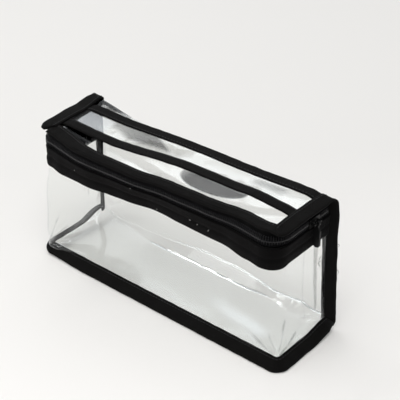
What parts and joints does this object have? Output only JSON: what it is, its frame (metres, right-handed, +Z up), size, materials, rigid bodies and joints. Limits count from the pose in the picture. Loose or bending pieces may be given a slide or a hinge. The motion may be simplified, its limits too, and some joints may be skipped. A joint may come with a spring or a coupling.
{
  "type": "makeup bag",
  "caption": "Small clear vinyl makeup bag with black bound seams, a three-sided zip in a fabric band, a lid that folds back and a flat carry handle.",
  "frame": {"origin": "on the surface that the bag stands on, under the middle of its outline", "axes": "+Z up, +X along the length towards the end where the zip closes, -Y towards the front"},
  "size_m": [0.2298, 0.0716, 0.1154],
  "materials": {
    "clear_vinyl": "clear soft PVC sheet, glossy, lightly creased",
    "binding_tape": "black ribbed polyester binding tape",
    "zip_fabric": "black woven zip tape and band",
    "zip_coil": "black nylon coil",
    "zip_metal": "black enamel on a zinc casting"
  },
  "bodies": {
    "bag": {"back_bottom_panel": "clear_vinyl", "front_wrap_panel": "clear_vinyl", "bottom_binding": "binding_tape", "left_back_binding": "binding_tape", "right_back_binding": "binding_tape", "zip_band": "zip_fabric", "zip_lower_tape": "zip_fabric", "zip_lower_coil": "zip_coil", "left_zip_stop": "zip_metal", "right_zip_stop": "zip_metal"},
    "lid": {"lid_panel": "clear_vinyl", "lid_left_binding": "binding_tape", "lid_right_binding": "binding_tape", "lid_front_binding": "binding_tape", "zip_upper_tape": "zip_fabric", "zip_upper_coil": "zip_coil", "handle_strip": "clear_vinyl", "handle_front_binding": "binding_tape", "handle_rear_binding": "binding_tape"},
    "slider": {"zip_slider": "zip_metal"},
    "pull": {"zip_pull": "zip_metal"}
  },
  "joints": [
    {"name": "lid_hinge", "type": "hinge", "parent": "bag", "child": "lid", "pos_m": [0, 0.02805, 0.10725], "axis": [-1, 0, 0], "range_deg": [0, 170]},
    {"name": "slider_run", "type": "slide", "parent": "bag", "child": "slider", "axis": [0, -1, 0], "range_m": [0, 0.014]},
    {"name": "pull_swing", "type": "hinge", "parent": "slider", "child": "pull", "pos_m": [0.1076, 0.009, 0.1], "axis": [0, -1, 0], "range_deg": [0, 140]}
  ]
}
